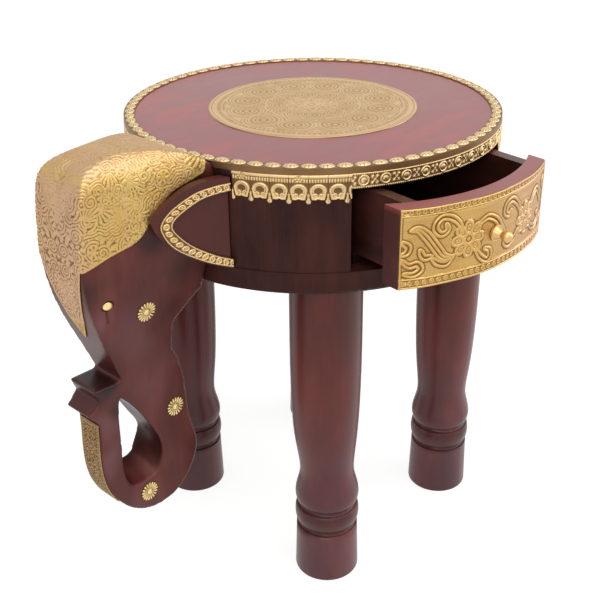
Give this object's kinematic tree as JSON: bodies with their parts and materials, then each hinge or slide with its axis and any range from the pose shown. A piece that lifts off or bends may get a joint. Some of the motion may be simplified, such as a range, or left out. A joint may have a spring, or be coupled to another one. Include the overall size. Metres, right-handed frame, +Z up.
{
  "type": "carved elephant stool",
  "caption": "Round four-legged stool with a carved elephant's head and trunk, brass trim and a curved drawer that slides out under the top.",
  "frame": {"origin": "on the floor, in the middle of the whole stool's box, drawer in its pictured pose", "axes": "+Z up; the elephant faces -Y; the drawer slides out towards +X, turned 7 degrees towards the head"},
  "size_m": [0.4235, 0.476, 0.4559],
  "materials": {
    "polished_wood": "stained dark red and polished",
    "inner_wood": "stained, not polished",
    "sheet_brass": "thin embossed sheet, aged in the hollows",
    "turned_brass": "turned and polished",
    "steel": "plain steel"
  },
  "bodies": {
    "carcass": {"base_board": "polished_wood", "base_screws": "steel", "cheek_rosettes_left": "sheet_brass", "cheek_rosettes_right": "sheet_brass", "drawer_guide_left": "inner_wood", "drawer_guide_right": "inner_wood", "drawer_runner_left": "inner_wood", "drawer_runner_right": "inner_wood", "ear_bead_strip_left": "sheet_brass", "ear_bead_strip_right": "sheet_brass", "ear_dowels_left": "inner_wood", "ear_dowels_right": "inner_wood", "ear_left": "polished_wood", "ear_right": "polished_wood", "edge_band": "sheet_brass", "edge_fringe": "sheet_brass", "eye_left": "sheet_brass", "eye_right": "sheet_brass", "forehead_brass": "sheet_brass", "head_block": "polished_wood", "head_screws": "steel", "leg_bolts": "steel", "leg_front_left": "polished_wood", "leg_front_right": "polished_wood", "leg_rear_left": "polished_wood", "leg_rear_right": "polished_wood", "medallion_tacks": "sheet_brass", "rim_band": "sheet_brass", "rim_rosettes": "sheet_brass", "top_board": "polished_wood", "top_dowels": "inner_wood", "top_medallion": "sheet_brass", "trunk_strip": "sheet_brass", "wall_block_1": "polished_wood", "wall_block_2": "polished_wood", "wall_block_3": "polished_wood", "wall_block_4": "polished_wood", "wall_block_5": "polished_wood", "wall_block_6": "polished_wood"},
    "drawer": {"drawer_back": "inner_wood", "drawer_bottom": "inner_wood", "drawer_dowels": "inner_wood", "drawer_face": "sheet_brass", "drawer_face_tacks": "sheet_brass", "drawer_front": "polished_wood", "drawer_knob": "turned_brass", "drawer_nails": "steel", "drawer_side_left": "inner_wood", "drawer_side_right": "inner_wood", "knob_plate": "turned_brass", "knob_screw": "steel"}
  },
  "joints": [
    {"name": "drawer_slide", "type": "slide", "parent": "carcass", "child": "drawer", "axis": [0.9925, -0.1219, 0], "range_m": [-0.053, 0.097]}
  ]
}
